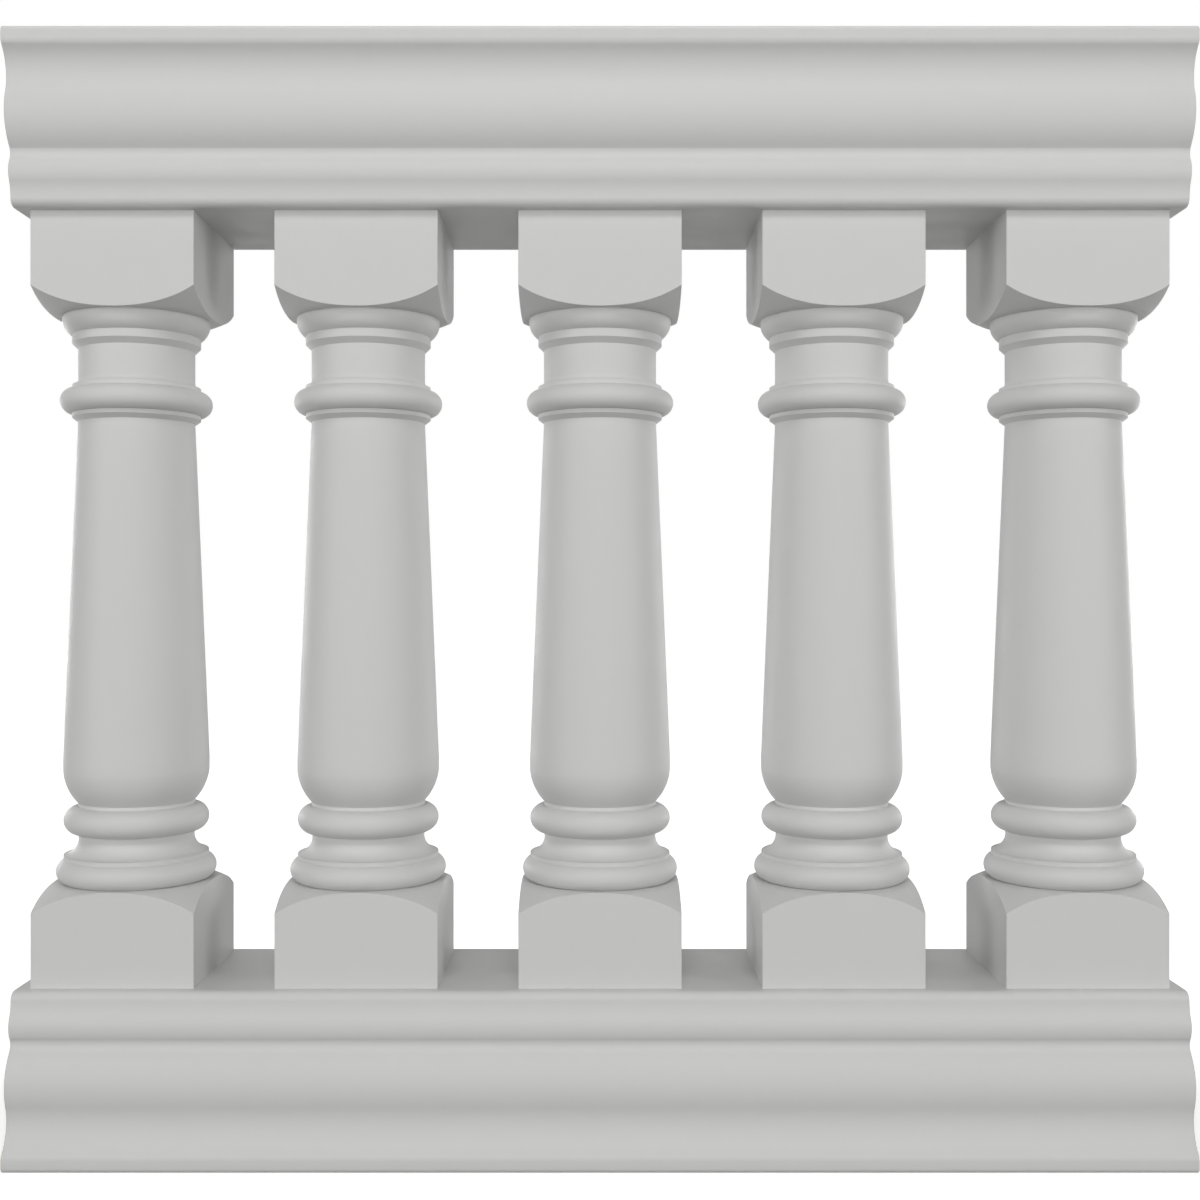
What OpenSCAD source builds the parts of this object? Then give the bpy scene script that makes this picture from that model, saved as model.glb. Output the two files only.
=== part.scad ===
// Fibreglass balustrade section, ready to fit between two posts or pedestals.
// Two moulded rails of one section face each other, the lower one upside down. Turned, hollow
// balusters stand between them, and a tie rod up each baluster draws the whole section together.
// X runs along the rails, Y from front to back and Z up. The origin is under the middle of the
// bottom rail. Sizes are in millimetres; many are inch stock sizes (914.4 is 36 in, 609.6 is 24 in).

/* [Section] */
// Length of both rails
rail_length = 914.4; // [700:0.1:1200]
// Number of balusters
baluster_count = 5; // [3:1:7]
// Height of a baluster, from one rail to the other
baluster_height = 609.6; // [480:0.1:760]
// From a rail's end to the block of the outer baluster
end_margin = 11.2; // [2:0.1:40]

/* [Rail section] */
// Height of a rail
rail_height = 133.35; // [125:0.05:165]
// Laminate thickness of a rail moulding
rail_wall = 6; // [4:0.5:9]
// How far the lip stands out from the face of the blocks
lip_projection = 30.5; // [26:0.1:38]
// Height of the lip
lip_height = 14.7; // [12:0.1:18]
// Rounding of the lip's upper edge
lip_round = 4; // [1:0.5:6]
// How far the plain fascia beside the balusters stands out from the face of the blocks
fascia_projection = 11.1; // [8:0.1:12.5]
// Rounding of the fascia's outer edge
fascia_round = 7; // [3:0.5:7.5]
// Thickness of the flat plate that closes a rail on the side of the balusters
plate_thickness = 6; // [4:0.5:10]
// Width of the opening that the plate fills
plate_opening = 120; // [100:1:122]
// Bond line on each edge of the plate
bond_gap = 0.2; // [0.1:0.1:0.5]

/* [Rail mouldings] */
// Height of the fascia's cove, up to the bead
cove_top = 20; // [16:0.1:22]
// Height at which the bead ends
bead_top = 35.5; // [31:0.1:38]
// Height at which the valley ends and the cyma begins
valley_top = 44.8; // [41:0.1:50]
// How far below the rail's crown the cyma turns from belly to hollow
cyma_drop = 46.3; // [38:0.1:55]
// How much less than the lip the cyma stands out where it turns
cyma_setback = 9.4; // [7:0.1:11]

/* [Baluster] */
// Side of the square blocks at both ends
block_width = 128; // [128:0.5:160]
// Height of a block, up to the flat shoulder in the middle of its faces
block_height = 74.9; // [65:0.1:95]
// How much lower the block's corners end, where the turning cuts them
pommel_drop = 16.6; // [8:0.1:22]
// Radius of the neck and of the shaft's top
neck_radius = 46.25; // [42:0.05:48]
// Radius of the shaft's foot
foot_radius = 57.8; // [54:0.1:60]
// Laminate thickness of a baluster
baluster_wall = 6; // [3:0.5:8]
// Radius of the arc that cuts the corners of the blocks
pommel_radius = 75; // [60:1:110]

/* [Base mouldings] */
// Height of the lower torus, which sits on the block
lower_torus_height = 18.6; // [15:0.1:22]
// Radius of the lower torus at its edges
lower_torus_edge = 57; // [52:0.1:59]
// Height of the fillet on the lower torus
base_fillet_height = 3.5; // [2:0.1:6]
// Height of the scotia
scotia_height = 12.6; // [10:0.1:16]
// Radius of the waist between the scotia and the upper torus
waist_radius = 45.8; // [42:0.1:48]
// Height of the waist
waist_height = 4.4; // [2:0.1:8]
// Height of the upper torus
upper_torus_height = 22.4; // [18:0.1:26]
// Height of the fillet under the shaft
shaft_fillet_height = 2.5; // [1:0.1:4]
// Height of the shaft's rounded foot
foot_height = 26.2; // [20:0.1:34]
// Height of the plain band above the rounded foot
foot_band = 9; // [2:0.1:20]

/* [Cap mouldings] */
// Height of the collar's cove at the shaft's top
collar_cove = 3.6; // [2.5:0.1:4.6]
// Radius of the collars and of the ring under the ovolo
collar_radius = 50.9; // [50:0.1:53]
// Height of the collar on each side of the astragal
collar_height = 3.2; // [2:0.1:5]
// Height of the astragal
astragal_height = 20; // [16:0.1:20]
// Height of the necking, between its two coves
necking_height = 24.7; // [18:0.1:32]
// Height of the coves above and below the necking
necking_cove = 4.65; // [3.5:0.05:5.5]
// Height of the ring under the ovolo
ring_height = 6.6; // [4:0.1:9]
// Height of the ovolo
ovolo_height = 12; // [9:0.1:15]
// Radius of the ovolo at its top
ovolo_radius = 58.3; // [55:0.1:62]
// Height of the plain band between the ovolo and the block
ovolo_band = 2.7; // [1:0.1:5]

/* [Reinforcement] */
// Side of the square steel tube inside each rail
tube_size = 50; // [40:1:60]
// Wall of the steel tube
tube_wall = 3; // [2:0.5:5]
// Outer radius of the tube's rolled corners
tube_corner = 4.5; // [3.5:0.5:8]
// How far the tube stops short of a rail's end
tube_setback = 25; // [10:1:60]
// Diameter of a tie rod
rod_diameter = 12; // [8:1:16]
// Clearance round a tie rod in the holes it passes
rod_clearance = 0.5; // [0.3:0.1:0.9]
// Side of the square plate washers
washer_size = 40; // [30:1:50]
// Thickness of the plate washers
washer_thickness = 5; // [3:0.5:8]
// Length of rod that stands out of a washer, for its nut
rod_end = 16; // [12:1:24]

/* [Hidden] */
// Arcs are drawn in steps of about this many degrees
arc_step = 6;
$fn = 64;

baluster_numbers = [for (i = [1 : baluster_count]) i];

block_half = block_width / 2;
corner_radius = block_half * sqrt(2);
pitch = (rail_length - 2 * end_margin - block_width) / (baluster_count - 1);
first_baluster_x = -pitch * (baluster_count - 1) / 2;
top_rail_z = rail_height + baluster_height;
// From a rail's flat side in to the outer face of its washers
clamp_depth = plate_thickness + tube_size + washer_thickness;
rod_hole = rod_diameter + 2 * rod_clearance;

frp_colour = [0.80, 0.80, 0.79];
steel_colour = [0.62, 0.64, 0.66];

function baluster_x(i) = first_baluster_x + (i - 1) * pitch;

// ---- Outlines made of straight lines and arcs ----

// Points of the arc from p to q with radius r, without q. The arc bulges to the right of the
// way from p to q when r is positive, and to the left when it is negative. Zero is a straight line.
function arc_points(p, q, r) = r == 0 ? [p] :
    let (
        chord = q - p,
        half = norm(chord) / 2,
        side = r > 0 ? 1 : -1,
        radius = max(abs(r), half * 1.0001),
        rise = sqrt(radius * radius - half * half),
        left = [-chord[1], chord[0]] / norm(chord),
        centre = (p + q) / 2 + side * rise * left,
        start = atan2(p[1] - centre[1], p[0] - centre[0]),
        sweep = side * 2 * asin(half / radius),
        steps = max(2, ceil(abs(sweep) / arc_step))
    )
    [for (i = [0 : steps - 1])
        centre + radius * [cos(start + sweep * i / steps), sin(start + sweep * i / steps)]];

// Radius of the arc from p to q that bulges out this far in its middle
function bulge_radius(p, q, bulge) =
    let (half = norm(q - p) / 2)
    (half * half + bulge * bulge) / (2 * bulge);

// A path is a list of [across, up, radius of the arc to the next corner].
function path_points(corners) = [
    for (i = [0 : len(corners) - 2])
        let (here = corners[i], next = corners[i + 1])
        each arc_points([here[0], here[1]], [next[0], next[1]], here[2]),
    [corners[len(corners) - 1][0], corners[len(corners) - 1][1]]
];

// ---- The rail section ----

// Front half of the rail's outline, from the flat side beside the balusters to the lip.
// Across is measured out from the face of the blocks, up from the flat side.
cove_round = 27.7;
bead_round = 18.3;
valley_round = 8.4;
nosing_round = 6.6;
// How far the mouldings step out past the fascia, and how far the lip stands out past the cyma
bead_foot_step = 3.2;
bead_head_step = 2.4;
valley_step = 1.8;
lip_step = 2.2;
nosing_rise = 5.3;
// The cyma starts at the valley, turns from belly to hollow, and ends under the lip.
cyma_start = [fascia_projection + valley_step, valley_top];
cyma_turn = [lip_projection - cyma_setback, rail_height - cyma_drop];
cyma_end = [lip_projection - lip_step, rail_height - lip_height];
belly_bulge = 6.4;
hollow_bulge = 4.5;
rail_front = [
    // fascia and its cove
    [fascia_projection - fascia_round, 0, fascia_round],
    [fascia_projection, fascia_round, -cove_round],
    // bead and valley
    [fascia_projection + bead_foot_step, cove_top, bead_round],
    [fascia_projection + bead_head_step, bead_top, -valley_round],
    // cyma, its belly first
    [cyma_start[0], cyma_start[1], bulge_radius(cyma_start, cyma_turn, belly_bulge)],
    [cyma_turn[0], cyma_turn[1], -bulge_radius(cyma_turn, cyma_end, hollow_bulge)],
    // lip, with a rounded nosing underneath
    [cyma_end[0], cyma_end[1], nosing_round],
    [lip_projection, cyma_end[1] + nosing_rise, 0],
    [lip_projection, rail_height - lip_round, lip_round],
    [lip_projection - lip_round, rail_height, 0]
];

// Whole section in Y and Z, with the flat side at Z = 0
module rail_outline() {
    front = [for (p = path_points(rail_front)) [block_half + p[0], p[1]]];
    last = len(front) - 1;
    polygon(concat(front, [for (i = [last : -1 : 0]) [-front[i][0], front[i][1]]]));
}

// A section in Y and Z drawn out along X, centred on the middle of the rail
module along_rail(length) {
    rotate([90, 0, 90])
        translate([0, 0, -length / 2])
            linear_extrude(height = length)
                children();
}

// One moulding: crown and both moulded sides, open on the flat side for the closing plate
module rail_moulding() {
    along_rail(rail_length)
        difference() {
            rail_outline();
            offset(delta = -rail_wall)
                rail_outline();
            translate([-plate_opening / 2, -rail_wall])
                square([plate_opening, 2 * rail_wall + 1]);
        }
}

module rod_holes(height) {
    for (i = baluster_numbers)
        translate([baluster_x(i), 0, -1])
            cylinder(d = rod_hole, h = height + 2);
}

// Flat plate that closes a rail and bears on the ends of the balusters
module closing_plate() {
    plate_width = plate_opening - 2 * bond_gap;
    difference() {
        translate([-rail_length / 2, -plate_width / 2, 0])
            cube([rail_length, plate_width, plate_thickness]);
        rod_holes(plate_thickness);
    }
}

module rounded_square(side, corner) {
    square([side, side - 2 * corner], center = true);
    square([side - 2 * corner, side], center = true);
    for (x = [-1, 1], y = [-1, 1])
        translate([x, y] * (side / 2 - corner))
            circle(r = corner);
}

// Square steel tube that lies on the inside of the closing plate
module stiffening_tube() {
    bore = tube_size - 2 * tube_wall;
    bore_corner = max(tube_corner - tube_wall, 0.5);
    difference() {
        translate([0, 0, plate_thickness + tube_size / 2])
            along_rail(rail_length - 2 * tube_setback)
                difference() {
                    rounded_square(tube_size, tube_corner);
                    rounded_square(bore, bore_corner);
                }
        rod_holes(plate_thickness + tube_size);
    }
}

module plate_washer() {
    translate([0, 0, plate_thickness + tube_size])
        difference() {
            translate([-washer_size / 2, -washer_size / 2, 0])
                cube([washer_size, washer_size, washer_thickness]);
            translate([0, 0, -1])
                cylinder(d = rod_hole, h = washer_thickness + 2);
        }
}

// Puts what is drawn for the top rail, flat side at Z = 0, where it belongs
module in_top_rail() {
    translate([0, 0, top_rail_z])
        children();
}

// The same, upside down, in the bottom rail
module in_bottom_rail() {
    translate([0, 0, rail_height])
        mirror([0, 0, 1])
            children();
}

// ---- The baluster ----

shoulder = [corner_radius, block_height - pommel_drop];

// Heights where the base's mouldings end, from the bottom block up
lower_torus_top = block_height + lower_torus_height;
base_fillet_top = lower_torus_top + base_fillet_height;
waist_z = base_fillet_top + scotia_height;
upper_torus_z = waist_z + waist_height;
upper_torus_top = upper_torus_z + upper_torus_height;
foot_z = upper_torus_top + shaft_fillet_height;
foot_top = foot_z + foot_height;

// A torus bulges out past its edges, and a fillet stands a little proud of what it borders.
lower_torus_round = 9.9;
upper_torus_round = upper_torus_height / 2;
fillet_proud = 0.4;
torus_step = 0.7;
scotia_round = 14;
scotia_lip = 1;
foot_round = 42;

// Turned outline from the bottom block to the shaft's foot: radius, height, arc to the next corner
base_turning = [
    [shoulder[0], shoulder[1], pommel_radius],
    [block_half, block_height, 0],
    // lower torus and its fillet
    [lower_torus_edge, block_height, lower_torus_round],
    [lower_torus_edge, lower_torus_top, 0],
    [lower_torus_edge + fillet_proud, lower_torus_top, 0],
    [lower_torus_edge + fillet_proud, base_fillet_top, 0],
    // scotia, down to the waist
    [lower_torus_edge + fillet_proud - scotia_lip, base_fillet_top, -scotia_round],
    [waist_radius, waist_z, 0],
    [waist_radius, upper_torus_z, 0],
    // upper torus and the fillet on it
    [waist_radius + torus_step, upper_torus_z, upper_torus_round],
    [waist_radius + torus_step, upper_torus_top, 0],
    [waist_radius + fillet_proud, upper_torus_top, 0],
    [waist_radius + fillet_proud, foot_z, foot_round],
    // rounded foot of the shaft and the band above it
    [foot_radius, foot_top, 0],
    [foot_radius, foot_top + foot_band, 0]
];

// Heights where the cap's mouldings begin, from the top block down
ovolo_top = baluster_height - block_height - ovolo_band;
ovolo_z = ovolo_top - ovolo_height;
ring_z = ovolo_z - ring_height;
necking_top = ring_z - necking_cove;
necking_z = necking_top - necking_height;
astragal_top = necking_z - necking_cove - collar_height;
astragal_z = astragal_top - astragal_height;
shaft_top = astragal_z - collar_height - collar_cove;

astragal_round = 10.05;
ovolo_round = 15;

// Turned outline from the shaft's top to the top block
cap_turning = [
    [neck_radius, shaft_top, -collar_cove],
    [collar_radius, astragal_z - collar_height, 0],
    // astragal between its two collars
    [collar_radius, astragal_z, 0],
    [collar_radius + fillet_proud, astragal_z, astragal_round],
    [collar_radius + fillet_proud, astragal_top, 0],
    [collar_radius, astragal_top, 0],
    // necking between its two coves
    [collar_radius, astragal_top + collar_height, -necking_cove],
    [neck_radius, necking_z, 0],
    [neck_radius, necking_top, -necking_cove],
    [collar_radius, ring_z, 0],
    // ring, ovolo and the band under the block
    [collar_radius, ovolo_z, 0],
    [collar_radius + fillet_proud, ovolo_z, ovolo_round],
    [ovolo_radius, ovolo_top, 0],
    [ovolo_radius, ovolo_top + ovolo_band, 0],
    [block_half, baluster_height - block_height, pommel_radius],
    [shoulder[0], baluster_height - shoulder[1], 0]
];

// Outside the shoulders the turning is wider than the square blank, which it leaves uncut there.
blank_allowance = 4;
blank_radius = corner_radius + blank_allowance;
turned_outline = concat(
    [[0, 0, 0], [blank_radius, 0, 0], [blank_radius, shoulder[1], 0]],
    base_turning,
    cap_turning,
    [[blank_radius, baluster_height - shoulder[1], 0]],
    [[blank_radius, baluster_height, 0], [0, baluster_height, 0]]
);

// The hollow inside: round from block to block, square in the blocks
pocket_width = block_width - 2 * baluster_wall;
pocket_depth = shoulder[1] - baluster_wall;
pocket_core = pocket_width / 2 - baluster_wall;
core_outline = [
    [0, pocket_depth],
    [pocket_core, pocket_depth],
    [waist_radius - baluster_wall, base_fillet_top],
    [waist_radius - baluster_wall, foot_z],
    [foot_radius - baluster_wall, foot_top],
    [foot_radius - baluster_wall, foot_top + foot_band],
    [neck_radius - baluster_wall, shaft_top],
    [neck_radius - baluster_wall, necking_top],
    [pocket_core, baluster_height - pocket_depth],
    [0, baluster_height - pocket_depth]
];

module baluster_hollow() {
    rotate_extrude()
        polygon(core_outline);
    for (z = [-1, baluster_height - pocket_depth])
        translate([-pocket_width / 2, -pocket_width / 2, z])
            cube([pocket_width, pocket_width, pocket_depth + 1]);
}

// A square blank with the turning cut into it, then hollowed
module baluster() {
    difference() {
        intersection() {
            translate([-block_half, -block_half, 0])
                cube([block_width, block_width, baluster_height]);
            rotate_extrude()
                polygon(path_points(turned_outline));
        }
        baluster_hollow();
    }
}

// ---- Sub-parts in place ----

module top_rail() {
    color(frp_colour)
        in_top_rail()
            rail_moulding();
}

module top_rail_soffit() {
    color(frp_colour)
        in_top_rail()
            closing_plate();
}

module top_rail_tube() {
    color(steel_colour)
        in_top_rail()
            stiffening_tube();
}

module bottom_rail() {
    color(frp_colour)
        in_bottom_rail()
            rail_moulding();
}

module bottom_rail_deck() {
    color(frp_colour)
        in_bottom_rail()
            closing_plate();
}

module bottom_rail_tube() {
    color(steel_colour)
        in_bottom_rail()
            stiffening_tube();
}

module baluster_at(i) {
    color(frp_colour)
        translate([baluster_x(i), 0, rail_height])
            baluster();
}

module tie_rod_at(i) {
    color(steel_colour)
        translate([baluster_x(i), 0, rail_height - clamp_depth - rod_end])
            cylinder(d = rod_diameter, h = baluster_height + 2 * (clamp_depth + rod_end));
}

module top_washer_at(i) {
    color(steel_colour)
        in_top_rail()
            translate([baluster_x(i), 0, 0])
                plate_washer();
}

module bottom_washer_at(i) {
    color(steel_colour)
        in_bottom_rail()
            translate([baluster_x(i), 0, 0])
                plate_washer();
}

top_rail();
top_rail_soffit();
top_rail_tube();
bottom_rail();
bottom_rail_deck();
bottom_rail_tube();
for (i = baluster_numbers) {
    baluster_at(i);
    tie_rod_at(i);
    top_washer_at(i);
    bottom_washer_at(i);
}
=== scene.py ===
import math

import bpy
from bpy.props import FloatProperty, FloatVectorProperty, IntProperty, PointerProperty
from bpy.types import Operator, Panel, PropertyGroup
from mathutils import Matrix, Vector


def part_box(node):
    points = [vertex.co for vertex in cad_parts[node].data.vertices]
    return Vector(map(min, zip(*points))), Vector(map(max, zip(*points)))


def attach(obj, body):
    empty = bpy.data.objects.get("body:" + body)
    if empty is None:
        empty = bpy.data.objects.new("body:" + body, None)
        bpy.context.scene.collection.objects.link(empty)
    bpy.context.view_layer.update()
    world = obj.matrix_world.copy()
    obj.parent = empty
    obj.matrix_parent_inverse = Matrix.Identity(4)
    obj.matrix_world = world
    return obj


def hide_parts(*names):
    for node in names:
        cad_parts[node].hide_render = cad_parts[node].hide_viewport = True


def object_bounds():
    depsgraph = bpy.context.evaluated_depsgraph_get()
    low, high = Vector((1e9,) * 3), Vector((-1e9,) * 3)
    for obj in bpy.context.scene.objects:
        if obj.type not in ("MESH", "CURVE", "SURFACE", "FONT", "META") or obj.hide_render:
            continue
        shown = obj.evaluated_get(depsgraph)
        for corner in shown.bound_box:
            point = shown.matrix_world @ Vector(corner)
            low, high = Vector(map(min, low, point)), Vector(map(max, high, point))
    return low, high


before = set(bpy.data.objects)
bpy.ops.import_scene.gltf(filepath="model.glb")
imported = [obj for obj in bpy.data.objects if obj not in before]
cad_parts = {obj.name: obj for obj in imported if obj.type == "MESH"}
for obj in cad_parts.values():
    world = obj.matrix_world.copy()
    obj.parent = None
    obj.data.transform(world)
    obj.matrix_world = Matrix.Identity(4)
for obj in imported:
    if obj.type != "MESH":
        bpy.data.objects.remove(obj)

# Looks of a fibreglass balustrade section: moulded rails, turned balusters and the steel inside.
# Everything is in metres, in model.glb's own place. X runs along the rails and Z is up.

bl_info = {
    "name": "Fibreglass Balustrade",
    "version": (1, 0, 0),
    "blender": (4, 5, 0),
    "location": "View3D > Sidebar > Balustrade",
    "description": "Builds the moulded rails, turned balusters and steel of a balustrade section",
    "category": "Object",
}

MM = 0.001
FULL_TURN = 2 * math.pi
# Points nearer to each other than this are one point.
SAME_PLACE = 1e-6


def linear(code):
    """Linear colour of an sRGB hex code such as "c8c8c6"."""
    shares = [int(code[i:i + 2], 16) / 255 for i in (0, 2, 4)]
    return [s / 12.92 if s <= 0.04045 else ((s + 0.055) / 1.055) ** 2.4 for s in shares]


# ---- What model.glb gives ----

LOWEST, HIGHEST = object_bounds()
BALUSTERS = sorted(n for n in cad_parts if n.startswith("baluster_"))
BALUSTER_X = [sum(c[0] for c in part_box(n)) / 2 for n in BALUSTERS]
MIDDLE = (LOWEST + HIGHEST) / 2


def size_of(name):
    """Size of a CAD node's box, as (along X, along Y, along Z)."""
    low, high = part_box(name)
    return high - low


# ---- Sizes and colours that a user would change ----


def length(name, millimetres, description):
    """A length setting, given in millimetres."""
    return FloatProperty(
        name=name, description=description, default=millimetres * MM, min=0.0, unit="LENGTH"
    )


def colour(name, code, description):
    """A colour setting, given as an sRGB hex code."""
    return FloatVectorProperty(
        name=name, description=description, default=linear(code), subtype="COLOR", min=0.0, max=1.0
    )


def power(name, watts, description):
    """The setting of a lamp's power, given in watts."""
    return FloatProperty(name=name, description=description, default=watts, min=0.0, unit="POWER")


class RailSizes(PropertyGroup):
    """Section of both rails, measured out from the blocks' faces and up from the flat side."""

    wall: length("Wall", 6, "Thickness of the laminate")
    plate_opening: length("Opening", 120, "Width of the opening that the closing plate fills")
    lip_projection: length("Lip", 30.5, "How far the lip stands out from the blocks")
    lip_height: length("Lip height", 14.7, "Height of the lip")
    lip_round: length("Lip rounding", 4, "Rounding of the lip's outer edge")
    fascia_projection: length("Fascia", 11.1, "How far the fascia stands out from the blocks")
    fascia_round: length("Fascia rounding", 7, "Rounding of the fascia's outer edge")
    cove_top: length("Cove", 20, "Height at which the fascia's cove ends and the bead begins")
    cove_radius: length("Cove radius", 27.7, "Radius of the fascia's cove")
    bead_foot: length("Bead foot", 3.2, "How much more than the fascia the bead's foot stands out")
    bead_top: length("Bead", 35.5, "Height at which the bead ends and the valley begins")
    bead_radius: length("Bead radius", 18.3, "Radius of the bead")
    bead_head: length("Bead head", 2.4, "How much more than the fascia the bead's top stands out")
    valley_top: length("Valley", 44.8, "Height at which the valley ends and the cyma begins")
    valley_radius: length("Valley radius", 8.4, "Radius of the valley")
    cyma_foot: length("Cyma foot", 1.8, "How much more than the fascia the cyma's foot stands out")
    cyma_drop: length("Cyma turn", 46.3, "How far below the crown the cyma turns")
    cyma_setback: length("Cyma setback", 9.4, "How much less than the lip the cyma's turn stands out")
    cyma_belly: length("Cyma belly", 6.4, "How far the cyma's lower curve bulges out")
    cyma_throat: length("Cyma throat", 4.5, "How far the cyma's upper curve goes in")
    nosing_setback: length("Nosing setback", 2.2, "How much less than the lip the nosing's foot stands out")
    nosing_height: length("Nosing height", 5.3, "Height of the nosing, the curve under the lip's face")
    nosing_radius: length("Nosing radius", 7.5, "Radius of the nosing")
    cut_edge: length("Cut edge", 0.5, "Chamfer left by sanding the sawn ends")


class BalusterSizes(PropertyGroup):
    """Turned outline of a baluster, from its bottom block up, and its hollow."""

    wall: length("Wall", 6, "Thickness of the laminate")
    block_height: length("Block", 74.9, "Height of a block in the middle of its faces")
    pommel_drop: length("Pommel drop", 16.6, "How much lower the block's corners end")
    pommel_radius: length("Pommel", 75, "Radius of the arc that cuts the block's corners")
    block_edge: length("Block edge", 0.7, "Rounding of the block's upright edges")
    neck_radius: length("Neck", 46.25, "Radius of the neck and of the shaft's top")
    foot_radius: length("Foot", 57.8, "Radius of the shaft's foot")
    lower_torus_height: length("Lower torus", 18.6, "Height of the lower torus")
    lower_torus_edge: length("Lower torus edge", 57, "Radius of the lower torus at its edges")
    lower_torus_curve: length("Lower torus curve", 9.9, "Radius of the lower torus's round")
    quirk: length("Quirk", 0.4, "Depth of the fine steps beside the rounds of the turning")
    base_fillet_height: length("Base fillet", 3.5, "Height of the fillet on the lower torus")
    scotia_step: length("Scotia step", 1, "How far the scotia starts inside the base fillet")
    scotia_height: length("Scotia", 12.6, "Height of the scotia")
    scotia_curve: length("Scotia curve", 14, "Radius of the scotia's hollow")
    waist_radius: length("Waist", 45.8, "Radius of the waist")
    waist_height: length("Waist height", 4.4, "Height of the waist")
    upper_torus_height: length("Upper torus", 22.4, "Height of the upper torus")
    upper_torus_step: length("Upper torus step", 0.7, "How far the upper torus starts outside the waist")
    shaft_fillet_height: length("Shaft fillet", 2.5, "Height of the fillet under the shaft")
    foot_height: length("Rounded foot", 26.2, "Height of the shaft's rounded foot")
    foot_curve: length("Foot curve", 42, "Radius of the shaft's rounded foot, seen from the side")
    foot_band: length("Foot band", 9, "Height of the plain band above the rounded foot")
    collar_slope: length("Collar slope", 3.6, "Height of the slope from the shaft's top to the collar")
    collar_radius: length("Collar", 50.9, "Radius of the collars and of the ring")
    collar_height: length("Collar height", 3.2, "Height of the collars beside the astragal")
    astragal_height: length("Astragal", 20, "Height of the astragal")
    astragal_curve: length("Astragal curve", 10.05, "Radius of the astragal's round")
    necking_height: length("Necking", 24.7, "Height of the straight part of the necking")
    necking_end: length("Necking ends", 4.65, "Height of the cove below the necking and of the slope above")
    ring_height: length("Ring", 6.6, "Height of the ring under the ovolo")
    ovolo_height: length("Ovolo", 12, "Height of the ovolo")
    ovolo_radius: length("Ovolo radius", 58.3, "Radius of the ovolo at its top")
    ovolo_curve: length("Ovolo curve", 15, "Radius of the ovolo's round, seen from the side")
    ovolo_band: length("Ovolo band", 2.7, "Height of the band between the ovolo and the block")
    spin_steps: IntProperty(name="Spin steps", description="Sides of the turning", default=144, min=24)


class SteelSizes(PropertyGroup):
    """Steel inside the rails, and the paste that bonds the closing plates."""

    tube_wall: length("Tube wall", 3, "Wall of the square tubes")
    tube_corner: length("Tube corner", 4.5, "Outer radius of the square tubes' corners")
    hole: length("Rod hole", 13, "Diameter of the holes that the rods pass")
    thread_pitch: length("Thread pitch", 1.75, "Pitch of the rods' threads")
    thread_depth: length("Thread depth", 1.07, "Depth of the rods' threads")
    thread_length: length("Thread length", 30, "Length of thread at each end of a rod")
    rod_tip: length("Rod tip", 1.2, "Chamfer at the ends of a rod")
    nut_width: length("Nut", 18.8, "Width of a nut across its flats")
    nut_height: length("Nut height", 10.6, "Height of a nut")
    washer_corner: length("Washer corner", 1.5, "Chamfer of the plate washers' corners")
    washer_edge: length("Washer edge", 0.5, "Rounding of the plate washers' edges")
    paste_width: length("Paste width", 11, "Width of the bead of paste on a bond line")
    paste_height: length("Paste height", 2.6, "Height of the bead of paste on a bond line")
    paste_lumps: length("Paste lumps", 0.45, "How uneven the bead of paste is")


class FinishColours(PropertyGroup):
    """Colours of the finishes."""

    gel_coat: colour("Gel coat", "d0d0cf", "Moulded outside of rails and balusters")
    laminate: colour("Laminate", "b9b7a8", "Bare inside of the mouldings")
    cut_laminate: colour("Cut laminate", "c6c3b4", "Sawn ends of the mouldings")
    paste: colour("Bonding paste", "c9c7be", "Paste that bonds the closing plates")
    galvanised: colour("Galvanised steel", "9aa0a3", "Square tubes")
    zinc: colour("Zinc plate", "b4b7b6", "Rods, washers and nuts")
    floor: colour("Floor", "8e8e8e", "Grey that the studio floor sends back to the pieces")


class StudioLights(PropertyGroup):
    """Softboxes and bright walls of the studio."""

    high_power: power("High", 51, "Power of the softbox above the camera")
    low_power: power("Low", 15, "Power of the softbox at the camera's height")
    side_power: power("Sides", 41, "Power of each softbox at the sides")
    back_power: power("Back", 19, "Power of each softbox behind")
    top_power: power("Top", 12, "Power of the strip above the top rail")
    walls: FloatProperty(
        name="Walls", description="Strength of the studio's bright walls", default=0.33, min=0.0
    )


# ---- Modelling helpers ----


def arc_points(start, end, radius, step=math.radians(4)):
    """Points from start up to end, without end, on an arc that bulges to the right if radius is over 0."""
    if radius == 0:
        return [start]
    chord = end - start
    half = chord.length / 2
    side = 1 if radius > 0 else -1
    bend = max(abs(radius), half * 1.0001)
    rise = math.sqrt(bend * bend - half * half)
    left = Vector((-chord.y, chord.x)) / chord.length
    centre = (start + end) / 2 + side * rise * left
    first = math.atan2(start.y - centre.y, start.x - centre.x)
    sweep = side * 2 * math.asin(half / bend)
    steps = max(2, math.ceil(abs(sweep) / step))
    turns = [first + sweep * i / steps for i in range(steps)]
    return [centre + bend * Vector((math.cos(t), math.sin(t))) for t in turns]


def outline(corners):
    """Points of an outline whose corners are (across, up, radius of the arc to the next)."""
    places = [Vector(c[:2]) for c in corners]
    points = []
    for here, there, corner in zip(places, places[1:], corners):
        points += arc_points(here, there, corner[2])
    return points + [places[-1]]


def bulge_radius(start, end, bulge):
    """Radius of the arc from start to end that bulges out this far in its middle."""
    half = (Vector(end) - Vector(start)).length / 2
    return (half * half + bulge * bulge) / (2 * bulge)


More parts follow.
